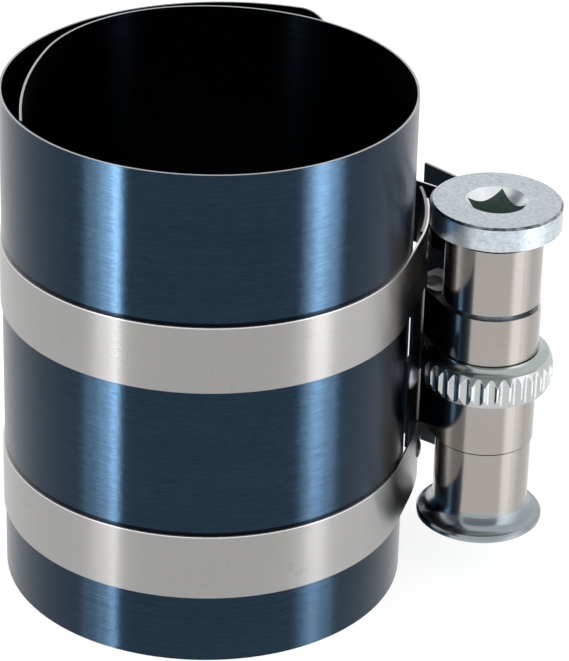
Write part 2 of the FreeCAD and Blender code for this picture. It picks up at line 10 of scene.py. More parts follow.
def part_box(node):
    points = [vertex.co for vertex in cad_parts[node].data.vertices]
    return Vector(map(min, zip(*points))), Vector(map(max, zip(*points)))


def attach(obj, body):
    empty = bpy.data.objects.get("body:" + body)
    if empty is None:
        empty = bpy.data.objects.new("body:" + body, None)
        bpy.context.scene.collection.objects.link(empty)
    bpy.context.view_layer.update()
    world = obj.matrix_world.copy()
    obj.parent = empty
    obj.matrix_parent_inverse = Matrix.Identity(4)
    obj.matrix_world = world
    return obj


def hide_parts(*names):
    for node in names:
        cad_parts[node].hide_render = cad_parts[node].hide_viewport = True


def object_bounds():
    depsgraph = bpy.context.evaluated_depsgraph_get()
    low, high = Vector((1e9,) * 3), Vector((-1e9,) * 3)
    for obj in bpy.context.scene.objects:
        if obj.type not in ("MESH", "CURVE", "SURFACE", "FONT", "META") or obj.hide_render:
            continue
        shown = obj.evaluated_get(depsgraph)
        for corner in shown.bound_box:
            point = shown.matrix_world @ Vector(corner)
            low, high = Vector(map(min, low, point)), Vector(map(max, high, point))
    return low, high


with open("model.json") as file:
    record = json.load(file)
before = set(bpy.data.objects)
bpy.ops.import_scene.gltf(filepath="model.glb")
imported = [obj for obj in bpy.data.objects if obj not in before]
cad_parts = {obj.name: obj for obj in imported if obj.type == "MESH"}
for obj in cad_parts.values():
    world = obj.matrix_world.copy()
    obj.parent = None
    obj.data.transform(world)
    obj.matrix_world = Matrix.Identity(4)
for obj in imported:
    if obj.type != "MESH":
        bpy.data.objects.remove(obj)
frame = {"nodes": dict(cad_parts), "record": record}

bl_info = {
    "name": "Piston ring compressor",
    "version": (1, 0, 0),
    "blender": (4, 5, 0),
    "location": "3D View > Sidebar > Compressor",
    "description": "Finishes for a ratchet piston ring compressor, with its studio",
    "category": "Object",
}

MM = 0.001
SAME_POINT = 1e-6
CAD_LOW, CAD_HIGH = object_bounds()
SPINDLE_LOW, SPINDLE_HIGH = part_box("spindle")
SPINDLE_AXIS = (SPINDLE_LOW + SPINDLE_HIGH) / 2
WHEEL_LOW, WHEEL_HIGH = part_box("ratchet_wheel")
PAWL_LOW, PAWL_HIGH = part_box("pawl")
BODIES = {node: body for body, nodes in frame["record"]["behaviour"]["bodies"].items() for node in nodes}
BRUSHED = ("sleeve_sheet",)
STRAPS = ("strap_upper", "strap_lower")
COILS = ("coil_upper", "coil_lower", "ratchet_housing")
RIVET_SETS = ("strap_rivets_upper", "strap_rivets_lower", "housing_rivets_shoe", "housing_rivets_guard",
              "carrier_rivets")


# Colours

WHITE = (1.0, 1.0, 1.0, 1.0)
# Painted shadow along the straps' top edges on the sleeve.
STRAP_SHADOW = (0.002, 0.002, 0.003)
# Painted highlight on the strips' level rims and along the straps' top edges.
EDGE_HIGHLIGHT = (0.80, 0.79, 0.78)
# Painted dark reflection on the head's outer chamfer.
CHAMFER_REFLECTION = (0.05, 0.055, 0.06)
# Painted highlight on the head's countersink.
COUNTERSINK_HIGHLIGHT = (0.80, 0.82, 0.84)
# Painted light on the socket's walls.
SOCKET_LIGHT = (0.75, 0.88, 0.84)
# Painted shade on the wheel's cone.
CONE_SHADE = (0.40, 0.44, 0.43)
# Painted highlight on the wheel's ridges.
RIDGE_HIGHLIGHT = (0.86, 0.87, 0.87)
GRIME = (0.20, 0.22, 0.23)
PLATE_RIM = (0.3, 0.3, 0.3)
BRACKET_STEEL = (0.16, 0.165, 0.17)
RIVET_STEEL = (0.30, 0.31, 0.33)
PAWL_STEEL = (0.12, 0.125, 0.14)
SPRING_STEEL = (0.32, 0.32, 0.34)
SEEN_PAPER = (0.34, 0.34, 0.34, 1.0)
PLAIN_PAPER = (0.8, 0.8, 0.8, 1.0)


# Marks and creases

# Levelness runs from 0 on an upright face to 1 on a level one: walls lie below the first of these, cut
# rims above the second and flat tops above the third.
WALL_LEVEL = 0.3
RIM_LEVEL = 0.6
TOP_LEVEL = 0.95
# The painted shadow line on the sleeve starts at a strap's top edge and is twice this high.
STRAP_SHADOW_HALF = 0.3 * MM
# Share of the sleeve's colour that the painted shadow line covers.
STRAP_SHADOW_COVER = 0.85
# The painted highlight line's middle lies this far under the strap's top edge, and it reaches this far both
# ways.
EDGE_DROP = 0.09 * MM
EDGE_HALF = 0.1 * MM
# The painted light on the socket's walls starts this far under the head's top.
SOCKET_START = 0.2 * MM
# Share of a flute's depth above which its ridge gets a painted highlight.
RIDGE_HIGHLIGHT_FROM = 0.86
# Share of the sleeve's colour on the shoe and guard plates.
PLATE_SHADE = 0.5
# Edges sharper than these angles in degrees stay sharp.
CREASE = 28.0
RIVET_CREASE = 40.0
WHEEL_CREASE = 20.0
# Powers that draw the wheel's cone hollow.
CONE_HOLLOW = 1.6
CONE_RISE = 1.1
# Sockets of a Mix node that is set to colours: factor, both colours and the result.
MIX_INPUTS = (0, 6, 7)
MIX_RESULT = 2
# Turn that lays the anisotropic highlight across the brushing.
ACROSS = 0.25


# Studio

# A lamp is its turn from the front to the right in degrees, its width in metres, and its share of the
# group's radiance.
LEFT_LAMPS = ((-48.0, 0.012, 2.2), (-49.5, 0.05, 1.0), (-55.5, 0.065, 0.5), (-63.0, 0.09, 0.2))
RIGHT_LAMPS = ((61.5, 0.09, 1.0), (54.5, 0.05, 0.35), (70.0, 0.08, 0.45))
STRAP_LAMPS = ((-48.0, 0.01, 3.5), (-54.0, 0.14, 0.3), (62.0, 0.13, 0.5), (74.0, 0.6, 0.1))
RIGHT_WINDOWS = ((68.0, 0.56, 0.35), (65.0, 0.4, 0.35), (61.0, 0.22, 0.5))
LEFT_WINDOWS = ((-62.0, 0.25, 1.0),)
LAMP_DISTANCE = 0.6
# Height of a lamp and of its middle.
LAMP_SPAN = (0.7, 0.08)
WINDOW_SPAN = (0.9, 0.1)
FLOOR_HALF = 3.0
FLOOR_GAP = 0.1 * MM
FLOOR_GLOW = 0.82


# Shader nodes

def add(tree, kind, **settings):
    node = tree.nodes.new(kind)
    for key, value in settings.items():
        setattr(node, key, value)
    return node


def new_material(name, base, roughness, metallic=1.0):
    """A material with its node tree and its shader."""
    material = bpy.data.materials.new(name)
    material.use_nodes = True
    tree = material.node_tree
    tree.nodes.clear()
    output = add(tree, "ShaderNodeOutputMaterial")
    shader = add(tree, "ShaderNodeBsdfPrincipled")
    tree.links.new(shader.outputs["BSDF"], output.inputs["Surface"])
    shader.inputs["Base Color"].default_value = (*base, 1.0)
    shader.inputs["Roughness"].default_value = roughness
    shader.inputs["Metallic"].default_value = metallic
    return material, tree, shader


def feed(tree, socket, value):
    """Links a socket to an output, or sets it to a number or a colour."""
    if isinstance(value, bpy.types.NodeSocket):
        tree.links.new(value, socket)
    elif isinstance(value, (tuple, list)) and len(socket.default_value) == len(value) + 1:
        socket.default_value = (*value, 1.0)
    else:
        socket.default_value = value


def math_node(tree, operation, first, second=None, third=None):
    node = add(tree, "ShaderNodeMath", operation=operation)
    for socket, value in zip(node.inputs, (first, second, third)):
        if value is not None:
            feed(tree, socket, value)
    return node.outputs["Value"]


def product(tree, first, *others):
    """The values multiplied, in their order."""
    for value in others:
        first = math_node(tree, "MULTIPLY", first, value)
    return first


def mix_colour(tree, factor, first, second):
    node = add(tree, "ShaderNodeMix", data_type="RGBA")
    for index, value in zip(MIX_INPUTS, (factor, first, second)):
        feed(tree, node.inputs[index], value)
    return node.outputs[MIX_RESULT]


def scaled_colour(tree, colour, factor):
    node = add(tree, "ShaderNodeVectorMath", operation="SCALE")
    feed(tree, node.inputs[0], colour)
    feed(tree, node.inputs["Scale"], factor)
    return node.outputs["Vector"]


def object_point(tree, offset=(0.0, 0.0, 0.0)):
    """Object coordinates with a chosen point as their origin."""
    coordinates = add(tree, "ShaderNodeTexCoord")
    mapping = add(tree, "ShaderNodeMapping", vector_type="POINT")
    mapping.inputs["Location"].default_value = [-v for v in offset]
    tree.links.new(coordinates.outputs["Object"], mapping.inputs["Vector"])
    return mapping.outputs["Vector"]


def noise(tree, vector, scale=1.0, detail=3.0, roughness=0.5, stretch=None):
    """Noise on a vector, stretched along its axes."""
    if stretch is not None:
        mapping = add(tree, "ShaderNodeMapping", vector_type="POINT")
        mapping.inputs["Scale"].default_value = stretch
        tree.links.new(vector, mapping.inputs["Vector"])
        vector = mapping.outputs["Vector"]
    texture = add(tree, "ShaderNodeTexNoise")
    tree.links.new(vector, texture.inputs["Vector"])
    texture.inputs["Scale"].default_value = scale
    texture.inputs["Detail"].default_value = detail
    texture.inputs["Roughness"].default_value = roughness
    return texture.outputs["Fac"]


def spread(tree, value, low, high, start=0.0, end=1.0):
    """Maps start to end onto low to high, and stays within them."""
    node = add(tree, "ShaderNodeMapRange")
    node.inputs["From Min"].default_value = start
    node.inputs["From Max"].default_value = end
    node.inputs["To Min"].default_value = low
    node.inputs["To Max"].default_value = high
    tree.links.new(value, node.inputs["Value"])
    return node.outputs["Result"]


def split(tree, vector):
    node = add(tree, "ShaderNodeSeparateXYZ")
    tree.links.new(vector, node.inputs["Vector"])
    return node.outputs["X"], node.outputs["Y"], node.outputs["Z"]


def polar_parts(tree, point):
    """Radius from the Z axis, and the height."""
    x, y, z = split(tree, point)
    square = math_node(tree, "MULTIPLY", x, x)
    square = math_node(tree, "MULTIPLY_ADD", y, y, square)
    return math_node(tree, "SQRT", square), z


def surface_normal(tree):
    return add(tree, "ShaderNodeNewGeometry").outputs["Normal"]


def levelness(tree):
    """1 on level faces and 0 on upright ones."""
    return math_node(tree, "ABSOLUTE", split(tree, surface_normal(tree))[2])


def rims(tree):
    """1 on a sheet's cut rims, which lie level, and 0 on its walls."""
    return math_node(tree, "GREATER_THAN", levelness(tree), RIM_LEVEL)


def facing_axis(tree, point):
    """1 where the surface faces the Z axis, as the sleeve's inside does."""
    flat = add(tree, "ShaderNodeVectorMath", operation="MULTIPLY")
    tree.links.new(point, flat.inputs[0])
    flat.inputs[1].default_value = (1.0, 1.0, 0.0)
    dot = add(tree, "ShaderNodeVectorMath", operation="DOT_PRODUCT")
    tree.links.new(flat.outputs["Vector"], dot.inputs[0])
    tree.links.new(surface_normal(tree), dot.inputs[1])
    return math_node(tree, "LESS_THAN", dot.outputs["Value"], 0.0)


def bump(tree, shader, height, distance, strength):
    node = add(tree, "ShaderNodeBump")
    node.inputs["Strength"].default_value = strength
    node.inputs["Distance"].default_value = distance
    tree.links.new(height, node.inputs["Height"])
    tree.links.new(node.outputs["Normal"], shader.inputs["Normal"])


def radial_tangent(tree, shader, anisotropic):
    """Draws highlights out as brushing round the Z axis does."""
    tangent = add(tree, "ShaderNodeTangent", direction_type="RADIAL", axis="Z")
    tree.links.new(tangent.outputs["Tangent"], shader.inputs["Tangent"])
    shader.inputs["Anisotropic"].default_value = anisotropic
    shader.inputs["Anisotropic Rotation"].default_value = ACROSS


# Finishes

def blued_steel(name, tint, roughness, anisotropic, rim, marks=None):
    """Tempered blue spring steel, brushed round the sleeve, with bright sheared rims."""
    material, tree, shader = new_material(name, tint, roughness)
    point = object_point(tree)
    lines = noise(tree, point, detail=5.0, roughness=0.65, stretch=(14.0, 14.0, 4600.0))
    broad = noise(tree, point, detail=2.0, stretch=(22.0, 22.0, 160.0))
    stain = noise(tree, point, scale=70.0, roughness=0.55)
    scratches = noise(tree, point, roughness=0.6, stretch=(520.0, 520.0, 3600.0))
    shade = product(tree, spread(tree, lines, 0.72, 1.28), spread(tree, broad, 0.88, 1.12),
                    spread(tree, stain, 0.92, 1.08), spread(tree, scratches, 0.65, 1.35))
    wall = scaled_colour(tree, tint, shade)
    if marks is not None:
        wall = marks(tree, wall, point)
    tree.links.new(mix_colour(tree, rims(tree), wall, rim), shader.inputs["Base Color"])
    rough = math_node(tree, "ADD", spread(tree, lines, roughness - 0.05, roughness + 0.05),
                      spread(tree, stain, -0.02, 0.03))
    tree.links.new(rough, shader.inputs["Roughness"])
    grain = math_node(tree, "MULTIPLY_ADD", lines, 0.4, scratches)
    bump(tree, shader, grain, distance=0.03 * MM, strength=0.6)
    radial_tangent(tree, shader, anisotropic)
    return material


def sleeve_marks(tree, colour, point):
    """Painted shade on the sleeve's inside, and a painted shadow line along each strap's top edge."""
    settings = bpy.context.scene.compressor_sleeve
    # Painted shade: faces that look towards the axis, the sleeve's inside, are darkened to the inside share
    # of the colour.
    dark = math_node(tree, "MULTIPLY_ADD", facing_axis(tree, point), settings.inside - 1.0, 1.0)
    colour = scaled_colour(tree, colour, dark)
    _, _, height = split(tree, point)
    # Painted shadow: a near-black line on the sleeve just above each strap's top edge.
    for strap in STRAPS:
        above = math_node(tree, "SUBTRACT", height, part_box(strap)[1].z)
        strap_shadow = math_node(tree, "COMPARE", above, STRAP_SHADOW_HALF, STRAP_SHADOW_HALF)
        colour = mix_colour(tree, math_node(tree, "MULTIPLY", strap_shadow, STRAP_SHADOW_COVER), colour, STRAP_SHADOW)
    return colour


def strip_steel(name, tint, roughness, anisotropic, streak, offset=(0.0, 0.0, 0.0), bands=()):
    """Rolled steel strip: fine lines along it, small stains, and a painted highlight on its rims and along
    each band's top edge.
    """
    material, tree, shader = new_material(name, tint, roughness)
    point = object_point(tree, offset)
    lines = noise(tree, point, detail=4.0, roughness=0.6, stretch=(25.0, 25.0, 4200.0))
    stain = noise(tree, point, scale=240.0, detail=4.0, roughness=0.6)
    cloud = noise(tree, point, scale=60.0, detail=2.0)
    shade = product(tree, spread(tree, lines, 1.0 - streak, 1.0 + streak), spread(tree, cloud, 0.95, 1.05),
                    spread(tree, stain, 1.0, 0.80, start=0.64, end=0.80))
    # Painted highlight: the level rims and a thin line under each band's top edge get a light colour.
    bright = rims(tree)
    _, _, height = split(tree, point)
    for node in bands:
        line = math_node(tree, "COMPARE", height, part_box(node)[1].z - EDGE_DROP, EDGE_HALF)
        bright = math_node(tree, "MAXIMUM", bright, line)
    face = scaled_colour(tree, tint, shade)
    tree.links.new(mix_colour(tree, bright, face, EDGE_HIGHLIGHT), shader.inputs["Base Color"])
    rough = math_node(tree, "ADD", spread(tree, lines, roughness - 0.02, roughness + 0.02),
                      spread(tree, cloud, -0.02, 0.02))
    tree.links.new(rough, shader.inputs["Roughness"])
    bump(tree, shader, lines, distance=0.01 * MM, strength=0.3)
    radial_tangent(tree, shader, anisotropic)
    return material


def turned_steel(name, tint, roughness, ring_pitch, ring_depth, marks=None):
    """Turned steel: rings about the spindle's axis, and what marks adds to the colour."""
    material, tree, shader = new_material(name, tint, roughness)
    point = object_point(tree, SPINDLE_AXIS)
    radius, height = polar_parts(tree, point)
    along = math_node(tree, "MULTIPLY", math_node(tree, "ADD", radius, height), 1.0 / ring_pitch)
    texture = add(tree, "ShaderNodeTexNoise", noise_dimensions="1D")
    texture.inputs["Scale"].default_value = 1.0
    texture.inputs["Detail"].default_value = 3.0
    texture.inputs["Roughness"].default_value = 0.6
    tree.links.new(along, texture.inputs["W"])
    rings = texture.outputs["Fac"]
    mottle = noise(tree, point, scale=420.0, detail=4.0, roughness=0.6)
    shade = product(tree, spread(tree, rings, 0.84, 1.14), spread(tree, mottle, 0.88, 1.08))
    colour = scaled_colour(tree, tint, shade)
    if marks is not None:
        colour = marks(tree, colour, radius, height, mottle)
    tree.links.new(colour, shader.inputs["Base Color"])
    rough = math_node(tree, "ADD", spread(tree, rings, roughness - 0.06, roughness + 0.06),
                      spread(tree, mottle, -0.03, 0.03))
    tree.links.new(rough, shader.inputs["Roughness"])
    bump(tree, shader, rings, distance=ring_depth, strength=0.5)
    return material


def head_marks(tree, colour, radius, height, mottle):
    """The head's specks, painted light on its upright sides, a painted dark reflection on its chamfer, a
    painted highlight on its countersink and painted light on its socket walls.
    """
    settings = bpy.context.scene.compressor_spindle
    level = levelness(tree)
    specks = noise(tree, object_point(tree, SPINDLE_AXIS), scale=1500.0, detail=4.0, roughness=0.7)
    colour = scaled_colour(tree, colour, spread(tree, specks, 0.78, 1.24, start=0.3, end=0.7))
    # Painted light: upright faces of the head are made brighter than level ones.
    colour = scaled_colour(tree, colour, spread(tree, level, 1.22, 1.0))
    sloped = product(tree, math_node(tree, "GREATER_THAN", level, WALL_LEVEL),
                     math_node(tree, "LESS_THAN", level, TOP_LEVEL))
    # Painted reflection: a dark, mottled band on the head's outer chamfer.
    chamfer_from = 2 * settings.socket_rim
    chamfer = product(tree, sloped, math_node(tree, "GREATER_THAN", radius, chamfer_from),
                      spread(tree, mottle, 0.35, 1.0, start=0.35, end=0.6))
    colour = mix_colour(tree, chamfer, colour, CHAMFER_REFLECTION)
    # Painted highlight: the countersink's sloped faces get a light colour.
    past_mouth = 1.02 * settings.socket_rim
    inner = math_node(tree, "LESS_THAN", radius, past_mouth)
    colour = mix_colour(tree, product(tree, sloped, inner), colour, COUNTERSINK_HIGHLIGHT)
    # Painted light: the socket's walls, deep in its shade, get a light colour.
    top = SPINDLE_HIGH.z - SPINDLE_AXIS.z
    walls = product(tree, inner, math_node(tree, "LESS_THAN", level, WALL_LEVEL),
                    math_node(tree, "LESS_THAN", height, top - SOCKET_START))
    return mix_colour(tree, walls, colour, SOCKET_LIGHT)


def wheel_marks(tree, colour, radius, height, mottle):
    """Painted shade on the wheel's cone, a painted highlight on its ridges, and patches of grime."""
    settings = bpy.context.scene.compressor_wheel
    flute_bottom = settings.ridge_radius - settings.flute_depth
    rise = spread(tree, radius, 0.0, 1.0, start=flute_bottom, end=settings.ridge_radius)
    # Painted shade: the cone gets a darker, mottled colour.
    cone = math_node(tree, "LESS_THAN", radius, settings.cone_base)
    shaded_cone = scaled_colour(tree, CONE_SHADE, spread(tree, mottle, 0.8, 1.2))
    colour = mix_colour(tree, cone, colour, shaded_cone)
    # Painted highlight: the tops of the ridges get a light colour.
    worn = math_node(tree, "GREATER_THAN", rise, RIDGE_HIGHLIGHT_FROM)
    colour = mix_colour(tree, worn, colour, RIDGE_HIGHLIGHT)
    return mix_colour(tree, spread(tree, mottle, 0.0, 0.5, start=0.58, end=0.75), colour, GRIME)


# Shapes

def soften(mesh, sharp, turn_out=False):
    """Joins the mesh up and shades it smooth, apart from edges sharper than the angle."""
    work = bmesh.new()
    work.from_mesh(mesh)
    bmesh.ops.remove_doubles(work, verts=work.verts, dist=SAME_POINT)
    if turn_out:
        bmesh.ops.recalc_face_normals(work, faces=work.faces)
    limit = math.radians(sharp)
    for edge in work.edges:
        edge.smooth = len(edge.link_faces) == 2 and edge.calc_face_angle(0.0) < limit
    for face in work.faces:
        face.smooth = True
    work.to_mesh(mesh)
    work.free()
    if "custom_normal" in mesh.attributes:
        mesh.attributes.remove(mesh.attributes["custom_normal"])


def stand_for(node, mesh, material):
    """Puts a finished mesh with its material in the node's place and on its body, and hides the node."""
    mesh.materials.clear()
    mesh.materials.append(material)
    piece = bpy.data.objects.new(node + "_finished", mesh)
    bpy.context.scene.collection.objects.link(piece)
    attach(piece, BODIES[node])
    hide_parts(node)


def finish_nodes(nodes, material):
    """Gives the nodes' own shapes a finish."""
    for node in nodes:
        mesh = frame["nodes"][node].data.copy()
        mesh.name = node + "_finished"
        soften(mesh, CREASE)
        stand_for(node, mesh, material)


# Geometry nodes

def new_tree(name, inputs):
    """A geometry tree with its input and output nodes, and named inputs after the geometry."""
    tree = bpy.data.node_groups.new(name, "GeometryNodeTree")
    tree.interface.new_socket(name="Geometry", in_out="INPUT", socket_type="NodeSocketGeometry")
    tree.interface.new_socket(name="Geometry", in_out="OUTPUT", socket_type="NodeSocketGeometry")
    for label, kind in inputs:
        tree.interface.new_socket(name=label, in_out="INPUT", socket_type="NodeSocket" + kind)
    return tree, add(tree, "NodeGroupInput"), add(tree, "NodeGroupOutput")


def combine(tree, x, y, z):
    node = add(tree, "ShaderNodeCombineXYZ")
    for socket, value in zip(node.inputs, (x, y, z)):
        feed(tree, socket, value)
    return node.outputs["Vector"]


def baked(name, source, tree, values):
    """The plain mesh that a tree makes of a mesh."""
    holder = bpy.data.objects.new(name + "_source", source)
    bpy.context.scene.collection.objects.link(holder)
    modifier = holder.modifiers.new(tree.name, "NODES")
    modifier.node_group = tree
    for socket in tree.interface.items_tree:
        if socket.in_out == "INPUT" and socket.name in values:
            modifier[socket.identifier] = values[socket.name]
    graph = bpy.context.evaluated_depsgraph_get()
    mesh = bpy.data.meshes.new_from_object(holder.evaluated_get(graph))
    mesh.name = name
    holder.modifiers.remove(modifier)
    bpy.data.objects.remove(holder)
    return mesh


def finish_tree(tree, geometry, material_socket, group_out):
    """Realizes the instances, joins their seams and sets the material."""
    realize = add(tree, "GeometryNodeRealizeInstances")
    tree.links.new(geometry, realize.inputs["Geometry"])
    merge = add(tree, "GeometryNodeMergeByDistance")
    merge.inputs["Distance"].default_value = SAME_POINT
    tree.links.new(realize.outputs["Geometry"], merge.inputs["Geometry"])
    paint = add(tree, "GeometryNodeSetMaterial")
    tree.links.new(merge.outputs["Geometry"], paint.inputs["Geometry"])
    tree.links.new(material_socket, paint.inputs["Material"])
    tree.links.new(paint.outputs["Geometry"], group_out.inputs["Geometry"])


def fluted_wheel_tree():
    """Turns a half section into one tooth's sector, and sets the sectors round the axis."""
    tree, given, out = new_tree("fluted_wheel", (
        ("Teeth", "Int"), ("Columns", "Int"), ("Ridge radius", "Float"), ("Flute depth", "Float"),
        ("Land share", "Float"), ("First ridge", "Float"), ("Material", "Material")))
    rows = add(tree, "GeometryNodeAttributeDomainSize", component="MESH")
    tree.links.new(given.outputs["Geometry"], rows.inputs["Geometry"])
    grid = add(tree, "GeometryNodeMeshGrid")
    tree.links.new(given.outputs["Columns"], grid.inputs["Vertices X"])
    tree.links.new(rows.outputs["Point Count"], grid.inputs["Vertices Y"])
    x, y, _ = split(tree, add(tree, "GeometryNodeInputPosition").outputs["Position"])
    last_row = math_node(tree, "SUBTRACT", rows.outputs["Point Count"], 1.0)
    row = math_node(tree, "MULTIPLY", math_node(tree, "ADD", y, 0.5), last_row)
    section = add(tree, "GeometryNodeSampleIndex", data_type="FLOAT_VECTOR", domain="POINT")
    tree.links.new(given.outputs["Geometry"], section.inputs["Geometry"])
    tree.links.new(add(tree, "GeometryNodeInputPosition").outputs["Position"], section.inputs["Value"])
    tree.links.new(math_node(tree, "ROUND", row), section.inputs["Index"])
    radius, _, height = split(tree, section.outputs["Value"])
    across = math_node(tree, "MULTIPLY", x, 2.0)
    flank = math_node(tree, "SUBTRACT", 1.0, given.outputs["Land share"])
    reach = math_node(tree, "DIVIDE", math_node(tree, "ABSOLUTE", across), flank)
    reach = math_node(tree, "MINIMUM", reach, 1.0)
    hollow = math_node(tree, "SUBTRACT", 1.0, math_node(tree, "MULTIPLY", reach, reach))
    flute = math_node(tree, "MULTIPLY", given.outputs["Flute depth"], hollow)
    flute = math_node(tree, "SUBTRACT", given.outputs["Ridge radius"], flute)
    radius = math_node(tree, "MINIMUM", radius, flute)
    half_pitch = math_node(tree, "DIVIDE", math.pi, given.outputs["Teeth"])
    angle = math_node(tree, "MULTIPLY", across, half_pitch)
    place = combine(tree, math_node(tree, "MULTIPLY", radius, math_node(tree, "COSINE", angle)),
                    math_node(tree, "MULTIPLY", radius, math_node(tree, "SINE", angle)), height)
    shaped = add(tree, "GeometryNodeSetPosition")
    tree.links.new(grid.outputs["Mesh"], shaped.inputs["Geometry"])
    tree.links.new(place, shaped.inputs["Position"])
    points = add(tree, "GeometryNodePoints")
    tree.links.new(given.outputs["Teeth"], points.inputs["Count"])
    number = math_node(tree, "ADD", add(tree, "GeometryNodeInputIndex").outputs["Index"], 0.5)
    turn = math_node(tree, "MULTIPLY", number, math_node(tree, "MULTIPLY", half_pitch, 2.0))
    turn = math_node(tree, "ADD", turn, given.outputs["First ridge"])
    sectors = add(tree, "GeometryNodeInstanceOnPoints")
    tree.links.new(points.outputs["Points"], sectors.inputs["Points"])
    tree.links.new(shaped.outputs["Geometry"], sectors.inputs["Instance"])
    tree.links.new(combine(tree, 0.0, 0.0, turn), sectors.inputs["Rotation"])
    finish_tree(tree, sectors.outputs["Instances"], given.outputs["Material"], out)
    return tree


def rivet_tree():
    """Sets a rivet along each point's axis, with low domed heads where the CAD has flat discs."""
    tree, given, out = new_tree("riveting", (
        ("Head radius", "Float"), ("Head height", "Float"), ("Shank radius", "Float"), ("Grip", "Float"),
        ("Sides", "Int"), ("Material", "Material")))
    ball = add(tree, "GeometryNodeMeshUVSphere")
    tree.links.new(given.outputs["Sides"], ball.inputs["Segments"])
    tree.links.new(given.outputs["Sides"], ball.inputs["Rings"])
    tree.links.new(given.outputs["Head radius"], ball.inputs["Radius"])
    x, y, z = split(tree, add(tree, "GeometryNodeInputPosition").outputs["Position"])
    low = math_node(tree, "DIVIDE", given.outputs["Head height"], given.outputs["Head radius"])
    rise = math_node(tree, "MULTIPLY", math_node(tree, "MAXIMUM", z, 0.0), low)
    rise = math_node(tree, "ADD", rise, math_node(tree, "MULTIPLY", given.outputs["Grip"], 0.5))
    dome = add(tree, "GeometryNodeSetPosition")
    tree.links.new(ball.outputs["Mesh"], dome.inputs["Geometry"])
    tree.links.new(combine(tree, x, y, rise), dome.inputs["Position"])
    other = add(tree, "GeometryNodeTransform")
    tree.links.new(dome.outputs["Geometry"], other.inputs["Geometry"])
    other.inputs["Rotation"].default_value = (math.pi, 0.0, 0.0)
    shank = add(tree, "GeometryNodeMeshCylinder")
    tree.links.new(given.outputs["Sides"], shank.inputs["Vertices"])
    tree.links.new(given.outputs["Shank radius"], shank.inputs["Radius"])
    tree.links.new(given.outputs["Grip"], shank.inputs["Depth"])
    whole = add(tree, "GeometryNodeJoinGeometry")
    for part in (dome.outputs["Geometry"], other.outputs["Geometry"], shank.outputs["Mesh"]):
        tree.links.new(part, whole.inputs["Geometry"])
    axis = add(tree, "GeometryNodeInputNamedAttribute", data_type="FLOAT_VECTOR")
    axis.inputs["Name"].default_value = "axis"
    aim = add(tree, "FunctionNodeAlignRotationToVector", axis="Z")
    tree.links.new(axis.outputs["Attribute"], aim.inputs["Vector"])
    rivets = add(tree, "GeometryNodeInstanceOnPoints")
    tree.links.new(given.outputs["Geometry"], rivets.inputs["Points"])
    tree.links.new(whole.outputs["Geometry"], rivets.inputs["Instance"])
    tree.links.new(aim.outputs["Rotation"], rivets.inputs["Rotation"])
    finish_tree(tree, rivets.outputs["Instances"], given.outputs["Material"], out)
    return tree


def solids_of(node):
    """Each solid of a node, as its middle, its largest face's normal and its length along that."""
    work = bmesh.new()
    work.from_mesh(frame["nodes"][node].data)
    bmesh.ops.remove_doubles(work, verts=work.verts, dist=SAME_POINT)
    left = set(work.faces)
    found = []
    while left:
        group = {left.pop()}
        border = list(group)
        while border:
            face = border.pop()
            for near in (other for edge in face.edges for other in edge.link_faces if other in left):
                left.discard(near)
                group.add(near)
                border.append(near)
        axis = max(group, key=lambda face: face.calc_area()).normal.copy()
        corners = [vertex.co.copy() for face in group for vertex in face.verts]
        spans = [corner.dot(axis) for corner in corners]
        lowest = Vector([min(corner[i] for corner in corners) for i in range(3)])
        highest = Vector([max(corner[i] for corner in corners) for i in range(3)])
        found.append(((lowest + highest) / 2, axis, max(spans) - min(spans)))
    work.free()
    return sorted(found, key=lambda solid: (solid[0].z, solid[0].y))


def point_mesh(name, points, axes=()):
    """Loose points, each with its axis where it has one."""
    mesh = bpy.data.meshes.new(name)
    mesh.from_pydata(points, [], [])
    if axes:
        layer = mesh.attributes.new("axis", "FLOAT_VECTOR", "POINT")
        for place, axis in zip(layer.data, axes):
            place.vector = axis
    return mesh


def wheel_section(settings):
    """Half section of the wheel about its axis, closed, with fine steps along its bevels and cone."""
    bottom = PAWL_LOW.z + (PAWL_HIGH.z - PAWL_LOW.z) / 2 - settings.tooth_height / 2
    top = bottom + settings.tooth_height
    end = settings.ridge_radius - settings.end_chamfer
    shares = [step / settings.bevel_steps for step in range(settings.bevel_steps + 1)]
    points = [(settings.bore_radius, WHEEL_LOW.z), (settings.journal_radius, WHEEL_LOW.z),
              (settings.journal_radius, bottom)]
    for share in shares:
        points.append((end + settings.end_chamfer * share, bottom + settings.end_bevel * share))
    for share in (1 - share for share in shares):
        points.append((end + settings.end_chamfer * share, top - settings.end_bevel * share))
    for share in shares:
        hollow = 1 - (1 - share) ** CONE_HOLLOW
        radius = settings.cone_base + (settings.cone_top - settings.cone_base) * hollow
        points.append((radius, top + (WHEEL_HIGH.z - top) * share ** CONE_RISE))
    points += [(settings.bore_radius, WHEEL_HIGH.z), (settings.bore_radius, WHEEL_LOW.z)]
    return [(radius, 0.0, height) for radius, height in points]


# Settings

class SleeveSettings(bpy.types.PropertyGroup):
    colour: FloatVectorProperty(name="Blue", description="Colour of the tempered sheet", subtype="COLOR",
                                size=3, min=0.0, max=1.0, default=(0.0175, 0.034, 0.054))
    # Painted shade: the share of the sleeve's colour left on its inside.
    inside: FloatProperty(name="Inside", description="Share of that colour on the dull inside",
                          subtype="FACTOR", min=0.0, max=1.0, default=0.12)
    rim: FloatVectorProperty(name="Rim", description="Colour of the sheared rim", subtype="COLOR",
                             size=3, min=0.0, max=1.0, default=(0.40, 0.42, 0.44))
    roughness: FloatProperty(name="Roughness", description="Roughness of the brushed sheet",
                             subtype="FACTOR", min=0.1, max=1.0, default=0.2)
    brushing: FloatProperty(name="Brushing", description="How far the brushing draws highlights out",
                            subtype="FACTOR", min=0.0, max=1.0, default=1.0)


